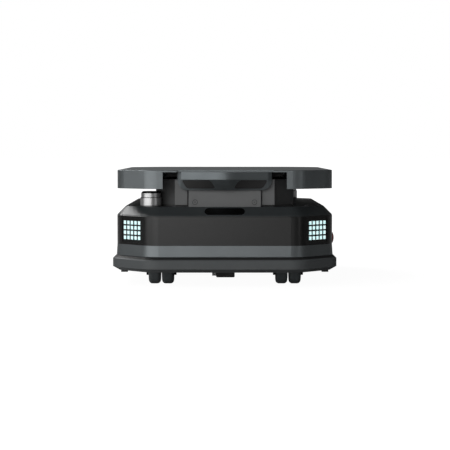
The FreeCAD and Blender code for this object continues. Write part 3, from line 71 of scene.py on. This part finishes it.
class Surface:
    """The nodes of one material."""

    def __init__(self, name):
        self.material = bpy.data.materials.new(name)
        self.material.use_nodes = True
        self.tree = self.material.node_tree
        self.tree.nodes.clear()

    def node(self, kind, settings, sockets, output=0):
        """Adds a node: its settings first, then a value or a link for each socket."""
        made = self.tree.nodes.new(kind)
        for key, setting in settings.items():
            if key != "stops":
                setattr(made, key, setting)
                continue
            ramp = made.color_ramp.elements
            for index, (position, shade) in enumerate(setting):
                stop = ramp[index] if index < len(ramp) else ramp.new(position)
                stop.position = position
                stop.color = (shade, shade, shade, 1)
        for key, source in sockets.items():
            if isinstance(source, Signal):
                self.tree.links.new(source.socket, made.inputs[key])
            else:
                made.inputs[key].default_value = source
        return Signal(self, made.outputs[output])

    def place(self, stretch=(1, 1, 1)):
        """The point on the piece, in metres, stretched along each axis."""
        spot = self.node("ShaderNodeTexCoord", {}, {}, "Object")
        if stretch == (1, 1, 1):
            return spot
        return self.node("ShaderNodeVectorMath", {"operation": "MULTIPLY"}, {0: spot, 1: stretch})

    def along(self, axis):
        """How far the point lies along X, Y or Z, in metres."""
        return self.node("ShaderNodeSeparateXYZ", {}, {"Vector": self.place()}, axis)

    def noise(self, size, detail=2.0, stretch=(1, 1, 1)):
        """Soft blotches of a size in metres, from 0 to 1."""
        return self.node("ShaderNodeTexNoise", {}, {
            "Vector": self.place(stretch), "Scale": 1 / size, "Detail": detail, "Roughness": 0.55})

    def ramp(self, source, *stops):
        return self.node("ShaderNodeValToRGB", {"stops": stops}, {"Fac": source})

    def blend(self, mask, first, second):
        """Runs from the first colour to the second as the mask goes from 0 to 1."""
        return self.node("ShaderNodeMix", {"data_type": "RGBA"}, {0: mask, 6: first, 7: second}, 2)

    def worn_edge(self, width):
        """1 on outer edges and in corners, 0 on the flat."""
        smooth = self.node("ShaderNodeBevel", {"samples": 4}, {"Radius": width})
        sharp = self.node("ShaderNodeNewGeometry", {}, {}, "Normal")
        likeness = self.node("ShaderNodeVectorMath", {"operation": "DOT_PRODUCT"}, {0: smooth, 1: sharp},
                             "Value")
        return self.ramp(1 - likeness, (0.02, 0), (0.2, 1))

    def relief(self, height, depth):
        """Bumps whose full height is a depth in metres."""
        return self.node("ShaderNodeBump", {}, {"Height": height, "Distance": depth, "Strength": 1.0})

    def shade(self, **sockets):
        """Ends the material in one shader."""
        named = {key.replace("_", " "): source for key, source in sockets.items()}
        shader = self.node("ShaderNodeBsdfPrincipled", {}, named)
        finished = self.tree.nodes.new("ShaderNodeOutputMaterial")
        self.tree.links.new(shader.socket, finished.inputs["Surface"])
        return self.material


def grey(level, tint=0.0):
    """A grey, a little towards blue-green for a positive tint."""
    return (level * (1 - tint), level, level * (1 + tint * 0.4), 1)


def coated(name, colour, roughness, peel=0.0009, depth=0.00004, edge=0.3, painted_shade_above=0.0, **more):
    """Powder coat or grained plastic: mottled a little, with fine bumps and rubbed edges.

    Above a height in metres, if given, it is painted black: painted shade where a groove would lie.
    """
    surface = Surface(name)
    blotch = surface.noise(0.09, 3.0)
    speck = surface.noise(peel, 2.0)
    dark = tuple(channel * 0.86 for channel in colour[:3]) + (1,)
    light = tuple(channel * 1.14 for channel in colour[:3]) + (1,)
    rubbed = tuple(min(channel * 1.5 + 0.03, 1) for channel in colour[:3]) + (1,)
    body = surface.blend(blotch * 0.55 + speck * 0.45, dark, light)
    edges = surface.worn_edge(0.0012) * surface.ramp(surface.noise(0.012, 3.0), (0.35, 0), (0.7, 1)) * edge
    rough = surface.ramp(surface.noise(0.03, 2.0), (0.3, roughness - 0.04), (0.7, roughness + 0.04))
    face = surface.blend(edges, body, rubbed)
    # Above the given height the face is painted black: painted shade for a groove that is not modelled.
    if painted_shade_above:
        painted_groove_shade = surface.ramp(surface.along("Z") * 10,
                              (painted_shade_above * 10 - 0.003, 0), (painted_shade_above * 10 + 0.003, 1))
        face = surface.blend(painted_groove_shade, face, grey(0.006))
    return surface.shade(
        Base_Color=face, Roughness=rough,
        Normal=surface.relief(speck, depth), **more)


def dress(material, *names):
    """Gives nodes a material in place of the plain one they come with."""
    for name in names:
        for piece_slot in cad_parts[name].material_slots:
            piece_slot.material = material


black_coat = coated("black_powder_coat", grey(0.012), 0.6)
dress(black_coat, "base_plate", "chassis_frame", "caster_wells", "deck_frame")


# The bumper is a moulded rubber strip round the foot of the machine, and the base plate lies on a shoulder
# inside it. It is matt, with dust in its grain. Its top, under the band, is painted black: painted shade for
# a groove.
bumper_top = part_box("bumper_ring")[1][2]
painted_shade_height = 0.0045
bumper_rubber = coated("bumper_rubber", grey(0.078, 0.08), 0.62, peel=0.0012, depth=0.00003, edge=0.15,
                       painted_shade_above=bumper_top - painted_shade_height)
dress(bumper_rubber, "bumper_ring")


# The lower band is a steel wall between the bumper and the panel. It is sprayed in a grey paint with metal
# flakes, so it mirrors the lamps softly. It is hardly worn.
band_paint = coated("band_paint", grey(0.175, 0.09), 0.40, depth=0.00001, edge=0.15, Metallic=0.72)
dress(band_paint, "lower_band")


# The panel wrap is smoked acrylic, bent round the corners and polished. It is nearly black, and it shows
# the room in it. Only a trace of dust and fine wiping marks breaks the gloss.
def polished(name, colour, roughness, black=None, **more):
    """Polished plastic. Black takes the surface and gives 1 where the plastic is black: print behind it, and
    painted shade.
    """
    surface = Surface(name)
    smear = surface.noise(0.05, 4.0, (1, 1, 2.5))
    dust = surface.ramp(surface.noise(0.0016, 3.0), (0.62, 0), (0.78, 1))
    rough = surface.ramp(smear, (0.35, roughness), (0.75, roughness + 0.06))
    body = surface.blend(dust * 0.05, colour, grey(0.25))
    if black is not None:
        body = surface.blend(black(surface), body, grey(0.0015))
    return surface.shade(Base_Color=body, Roughness=rough,
                         Normal=surface.relief(surface.noise(0.06, 1.0), 0.00006), **more)


panel_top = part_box("panel_wrap")[1][2]
light_low, light_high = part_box("led_window_front_right")
corner_line = (light_low[0] + light_high[0] - light_low[1] - light_high[1]) / 2
corner_bare, corner_black = corner_line - 0.006, corner_line - 0.004
# Under the cover the panel's top edge is painted black: painted shade for the gap there.
gap_shade_start, gap_shade_full = panel_top - 0.0022, panel_top - 0.0016


def print_and_painted_shade(surface):
    """Black print round the lights at the cut corners, and painted shade along the top edge under the cover.
    """
    corner = surface.ramp(abs(surface.along("X")) + abs(surface.along("Y")),
                          (corner_bare, 0), (corner_black, 1))
    rim = surface.ramp(surface.along("Z"), (gap_shade_start, 0), (gap_shade_full, 1))
    return surface.node("ShaderNodeMath", {"operation": "MAXIMUM"}, {0: corner, 1: rim})


panel_acrylic = polished("panel_acrylic", grey(0.018), 0.28, print_and_painted_shade)
dress(panel_acrylic, "panel_wrap")


# The corner lights are black acrylic windows, flush in the panel, with square light tiles in them. Each tile
# glows white, with blue-green patches where its diffuser is uneven, and is dark along its rim.
window_acrylic = polished("window_acrylic", grey(0.0015), 0.28)
dress(window_acrylic, "led_window_front_left", "led_window_front_right", "led_windows_rear")


def glowing(name, bright, dim):
    """A lit diffuser with a dark rim."""
    surface = Surface(name)
    uneven = surface.ramp(surface.noise(0.004, 1.0), (0.3, 0), (0.7, 1))
    light = surface.blend(uneven, bright, dim)
    rim = surface.worn_edge(0.0013)
    return surface.shade(
        Base_Color=surface.blend(rim, grey(0.2), grey(0.01)), Roughness=0.4,
        Emission_Color=surface.blend(rim, light, grey(0.01)), Emission_Strength=1.0)


tile_light = glowing("tile_light", (0.86, 1.0, 1.0, 1), (0.50, 0.93, 0.95, 1))
dress(tile_light, "led_tiles_front_left", "led_tiles_front_right", "led_tiles_rear")


# The top cover is a moulded shell in satin black, with a broad slope all round, that stands on the panel.
# The camera window in its front slope is black acrylic that mirrors little.
cover_plastic = coated("cover_plastic", grey(0.026, 0.15), 0.42, peel=0.0007, depth=0.00002, edge=0.2)
dress(cover_plastic, "top_cover")
bevel_acrylic = polished("bevel_acrylic", grey(0.001), 0.2, Specular_IOR_Level=0.15)
dress(bevel_acrylic, "bevel_window")


# The tower is a housing sprayed in a dark matt coat. It stands on the cover. The three plates on its front
# are coated in a lighter matt grey, and two screws hold the middle one.
tower_spray = coated("tower_spray", grey(0.045, 0.02), 0.55)
plate_paint = coated("plate_paint", grey(0.12, 0.02), 0.6)
dress(tower_spray, "tower_housing")
dress(plate_paint, "tower_front_plate", "tower_side_plates")


def metal(name, colour, roughness, stretch=(1, 1, 1), size=0.0006, depth=0.00001, painted=0.0):
    """Bare metal with fine tool marks, drawn out along the axes where stretch is small.

    Painted is a height in metres up to which it is black.
    """
    surface = Surface(name)
    marks = surface.noise(size, 2.0, stretch)
    stain = surface.noise(0.02, 3.0)
    dark = tuple(channel * 0.8 for channel in colour[:3]) + (1,)
    rough = surface.ramp(stain, (0.3, roughness), (0.75, roughness + 0.1))
    body = surface.blend(stain * 0.6 + marks * 0.4, colour, dark)
    if painted:
        bare = surface.ramp(surface.along("Z"), (painted - 0.0003, 0), (painted + 0.0003, 1))
        body = surface.blend(bare, grey(0.05), body)
    return surface.shade(Base_Color=body, Metallic=1.0,
                         Roughness=rough, Normal=surface.relief(marks, depth))


# The two screws in the middle plate have flat heads in counterbores, painted over with the plate. Their rims
# and their sockets are painted dark: painted shade in the gap round each head and in the socket.
def screw_with_painted_shade(name, colour, radius, middle, level):
    """Two mirrored heads, middle to each side of X, with painted shade on the rim and in the socket."""
    surface = Surface(name)
    across = abs(surface.along("X")) - middle
    up = surface.along("Z") - level
    out = surface.node("ShaderNodeMath", {"operation": "SQRT"}, {0: across * across + up * up})
    # The dark rim and socket are painted shade: the gap round the head and the hollow of the socket.
    rim = surface.ramp(out * 100, (radius * 100 - 0.11, 0), (radius * 100 - 0.05, 1))
    socket = surface.ramp(out * 100, (0.15, 0.35), (0.19, 0))
    dark = surface.node("ShaderNodeMath", {"operation": "MAXIMUM"}, {0: rim, 1: socket})
    return surface.shade(Base_Color=surface.blend(dark, colour, grey(0.004)), Roughness=0.6)


screw_low, screw_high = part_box("tower_screws")
screw_radius = (screw_high[2] - screw_low[2]) / 2
screw_paint_and_shade = screw_with_painted_shade("screw_paint_and_shade", grey(0.12, 0.02), screw_radius, screw_high[0] - screw_radius,
                            (screw_low[2] + screw_high[2]) / 2)
dress(screw_paint_and_shade, "tower_screws")


# The nose is a moulded housing on the front of the tower, sprayed in a grey paint with metal flakes. The two
# windows for the depth cameras are nearly black acrylic, let in parallel to its leaning face.
nose_plastic = coated("nose_plastic", grey(0.138, 0.11), 0.36, peel=0.0007, depth=0.00001, edge=0.15,
                      Metallic=0.68)
dress(nose_plastic, "nose_housing")
eye_acrylic = polished("eye_acrylic", grey(0.022), 0.3)
dress(eye_acrylic, "nose_window_left", "nose_window_right")


# The scanners are barrels of turned and plated metal with polished black caps. A black gasket shows round
# the foot of each barrel, where it stands on the cover.
barrel_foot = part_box("lidar_front_body")[0][2]
gasket_height = 0.0023
barrel_metal = metal("barrel_metal", (0.60, 0.60, 0.60, 1), 0.30, (0.05, 0.05, 1), 0.0004, depth=0.000002,
                     painted=barrel_foot + gasket_height)
cap_black = polished("cap_black", grey(0.004), 0.25)
dress(barrel_metal, "lidar_front_body", "lidar_rear_body")
dress(cap_black, "lidar_front_cap", "lidar_rear_cap")


# The deck is one folded and welded steel shell in the band's grey paint. It hangs on the black deck frame.
# Its finish is smooth, and its edges are hardly rubbed.
deck_paint = coated("deck_paint", grey(0.175, 0.09), 0.40, depth=0.00001, edge=0.15, Metallic=0.72)
dress(deck_paint, "deck_shell")


# The lift has four ground steel posts in black flanged bushes, and a ground screw in a bronze nut. The black
# motor hangs in the saddle of the frame.
ground_steel = metal("ground_steel", (0.72, 0.73, 0.74, 1), 0.14, (1, 1, 0.04), 0.0004)
bronze = metal("bronze", (0.50, 0.33, 0.14, 1), 0.32)
motor_paint = coated("motor_paint", grey(0.01), 0.4)
dress(ground_steel, "lift_posts", "lift_screw")
dress(bronze, "lift_nut")
dress(motor_paint, "lift_bushes", "lift_motor")


# Each drive unit is a cast hub motor with a moulded rubber tyre on a black arm, pivoted in a zinc-plated
# bracket. An orange rubber buffer between arm and bracket presses it down.
cast_aluminium = metal("cast_aluminium", (0.42, 0.43, 0.44, 1), 0.42, size=0.0015, depth=0.00005)
tyre_rubber = coated("tyre_rubber", grey(0.014), 0.75, peel=0.0015, depth=0.00012)
zinc = metal("zinc", (0.50, 0.50, 0.48, 1), 0.38)
spring_rubber = coated("spring_rubber", (0.42, 0.10, 0.015, 1), 0.5)
for side in ("left", "right"):
    dress(cast_aluminium, f"drive_hub_{side}")
    dress(tyre_rubber, f"drive_tyre_{side}")
    dress(motor_paint, f"drive_arm_{side}")
dress(zinc, "suspension_brackets")
buffer_folds = 4
rings_per_fold = 8
buffer_waist = 0.8
around_buffer = 48


def buffer(side):
    """A solid turned body with rounded folds, in the place of the plain one."""
    low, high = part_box(f"suspension_spring_{side}")
    middle_x, middle_y = (low[0] + high[0]) / 2, (low[1] + high[1]) / 2
    radius = (high[0] - low[0]) / 2
    rings = buffer_folds * rings_per_fold
    corners = []
    for ring in range(rings + 1):
        pinch = math.sin(math.pi * (ring % rings_per_fold) / rings_per_fold)
        reach = radius * (1 - (1 - buffer_waist) * pinch)
        level = low[2] + (high[2] - low[2]) * ring / rings
        for step in range(around_buffer):
            turn = 2 * math.pi * step / around_buffer
            corners.append((middle_x + reach * math.cos(turn), middle_y + reach * math.sin(turn), level))
    faces = [tuple(reversed(range(around_buffer))),
             tuple(range(rings * around_buffer, (rings + 1) * around_buffer))]
    for ring in range(rings):
        for step in range(around_buffer):
            near, far = ring * around_buffer + step, ring * around_buffer + (step + 1) % around_buffer
            faces.append((near, far, far + around_buffer, near + around_buffer))
    mesh = bpy.data.meshes.new(f"buffer_{side}")
    mesh.from_pydata(corners, [], faces)
    for face in list(mesh.polygons)[2:]:  # all but the two flat ends
        face.use_smooth = True
    mesh.materials.append(spring_rubber)
    piece = bpy.data.objects.new(f"buffer_{side}", mesh)
    bpy.context.scene.collection.objects.link(piece)
    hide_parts(f"suspension_spring_{side}")
    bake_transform(piece)


for side in ("left", "right"):
    buffer(side)


# The casters swivel in the wells. Each has a black fork and two wheels on one riveted axle. The wheels are
# moulded in grey plastic and worn smooth.
caster_tread = coated("caster_tread", grey(0.12, 0.10), 0.34, peel=0.0008, depth=0.00001, edge=0.15)
fork_paint = coated("fork_paint", grey(0.015), 0.5)
for end in ("front", "rear"):
    for side in ("left", "right"):
        dress(fork_paint, f"caster_fork_{end}_{side}")
        dress(caster_tread, f"caster_wheels_{end}_{side}")


# The emergency stop is a red moulded mushroom on a black stem, which slides in a black collar through the
# right side panel. Its head is worn a little lighter on the rim.
stop_red = coated("stop_red", (0.30, 0.012, 0.010, 1), 0.35, depth=0.00001, edge=0.1)
collar_black = coated("collar_black", grey(0.02), 0.4)
dress(stop_red, "estop_head")
dress(collar_black, "estop_collar", "estop_stem")


# The power button is a black moulded cap in a dark plated bezel. A nut under the cover holds the bezel.
bezel_metal = metal("bezel_metal", (0.15, 0.15, 0.16, 1), 0.3)
dress(bezel_metal, "power_button_bezel")
dress(cap_black, "power_button")


# The floor sensor and the edge sensors are small black moulded housings under the base plate. The floor
# sensor's lamp has a white moulded lens.
lamp_lens = polished("lamp_lens", grey(0.55), 0.2)
dress(collar_black, "floor_sensor", "drop_sensors")
dress(lamp_lens, "floor_lamp")


# The battery is a dark blue moulded case, the control box a cast aluminium one, and both stand on the plate.
# The charging contacts are two bare brass strips in the rear of the panel, brushed upright.
battery_case = coated("battery_case", (0.008, 0.014, 0.03, 1), 0.5)
brass = metal("brass", (0.60, 0.42, 0.16, 1), 0.25, (1, 1, 0.05))
dress(battery_case, "battery_pack")
dress(cast_aluminium, "control_box")
dress(brass, "charge_contacts")


# The studio: one broad soft box on the left of the camera, a small one behind the left shoulder, and a thin
# weak one on the right. A sweep behind and below is white by itself, and keeps a soft shadow.
class Sky(Surface):
    """The nodes of the world."""

    def __init__(self, name):
        world = bpy.data.worlds.new(name)
        bpy.context.scene.world = world
        world.use_nodes = True
        self.tree = world.node_tree
        self.tree.nodes.clear()

    def towards(self, direction):
        """1 in the direction given, 0 square to it, and -1 away from it."""
        looking = self.node("ShaderNodeTexCoord", {}, {}, "Generated")
        return self.node("ShaderNodeVectorMath", {"operation": "DOT_PRODUCT"},
                         {0: looking, 1: Vector(direction).normalized()}, "Value")


sky = Sky("studio")
seen_directly = sky.node("ShaderNodeLightPath", {}, {}, "Is Camera Ray")
seen_through = sky.node("ShaderNodeLightPath", {}, {}, "Is Transmission Ray")
seen_in_gloss = sky.node("ShaderNodeLightPath", {}, {}, "Is Glossy Ray")
room = sky.ramp(sky.towards((-0.35, -1.0, 0.2)), (0.0, 0.04), (0.55, 0.10), (1.0, 0.14))
behind = sky.ramp(sky.towards((0, 1, 0)), (0.7, 0), (0.95, 0.15))
white = sky.node("ShaderNodeMath", {"operation": "MINIMUM"},
                 {0: seen_directly + seen_through + seen_in_gloss * behind, 1: 1.0})
backdrop = sky.node("ShaderNodeBackground", {},
                    {"Strength": room * (1 - white) + white, "Color": (1, 1, 1, 1)})
around = sky.tree.nodes.new("ShaderNodeOutputWorld")
sky.tree.links.new(backdrop.socket, around.inputs["Surface"])

floor_reach = 40
floor_mesh = bpy.data.meshes.new("floor")
floor_mesh.from_pydata([(-floor_reach, -floor_reach, 0), (floor_reach, -floor_reach, 0),
                        (floor_reach, floor_reach, 0), (-floor_reach, floor_reach, 0)], [], [(0, 1, 2, 3)])
floor = bpy.data.objects.new("floor", floor_mesh)
bpy.context.scene.collection.objects.link(floor)
sweep = Surface("floor_sweep")
sweep_seen = sweep.node("ShaderNodeLightPath", {}, {}, "Is Camera Ray")
sweep_in_gloss = sweep.node("ShaderNodeLightPath", {}, {}, "Is Glossy Ray")
along = sweep.node("ShaderNodeSeparateXYZ", {}, {"Vector": sweep.place()}, "Y")
away = sweep.node("ShaderNodeVectorMath", {"operation": "LENGTH"}, {0: sweep.place()}, "Value")
behind_machine = sweep.ramp(along, (0.1, 0), (0.5, 0.15))
lit_by_itself = sweep.ramp(away * 0.25, (0.10, 0.86), (0.35, 1.0))
card = sweep.node("ShaderNodeBsdfDiffuse", {}, {"Color": sweep.blend(sweep_seen, grey(0.45), grey(0.8))})
sweep_strength = 1.12
glow = sweep.node("ShaderNodeEmission", {}, {"Color": (1, 1, 1, 1), "Strength": sweep_strength})
share = sweep_seen * lit_by_itself + sweep_in_gloss * behind_machine
sweep_face = sweep.node("ShaderNodeMixShader", {}, {0: share, 1: card, 2: glow})
sweep_end = sweep.tree.nodes.new("ShaderNodeOutputMaterial")
sweep.tree.links.new(sweep_face.socket, sweep_end.inputs["Surface"])
floor_mesh.materials.append(sweep.material)


def soft_box(name, bearing, height, distance, width, tall, power, target=0.15):
    """An area lamp that looks at the machine. Its bearing is in degrees from the front, to the right."""
    light = bpy.data.lights.new(name, "AREA")
    light.shape = "RECTANGLE"
    light.size = width
    light.size_y = tall
    light.energy = power
    lamp = bpy.data.objects.new(name, light)
    turn = math.radians(bearing)
    lamp.location = (distance * math.sin(turn), -distance * math.cos(turn), height)
    lamp.rotation_euler = (Vector((0, 0, target)) - lamp.location).to_track_quat("-Z", "Y").to_euler()
    bpy.context.scene.collection.objects.link(lamp)


soft_box("key", -36.5, 1.4, 3.0, 4.6, 2.8, 90, 1.4)
soft_box("shoulder", -133, 1.9, 1.9, 0.9, 0.9, 30)
soft_box("edge", 48, 1.0, 3.0, 0.45, 2.0, 4, 1.0)

camera_place = (0.0006, -3.594, 0.302)
camera_dip = 2.903
camera_data = bpy.data.cameras.new("camera")
camera_data.lens = 120
camera_data.sensor_width = 36
camera = bpy.data.objects.new("camera", camera_data)
camera.location = camera_place
camera.rotation_euler = (math.radians(90 - camera_dip), 0, 0)
bpy.context.scene.collection.objects.link(camera)
bpy.context.scene.camera = camera
bpy.context.scene.view_settings.view_transform = "Standard"
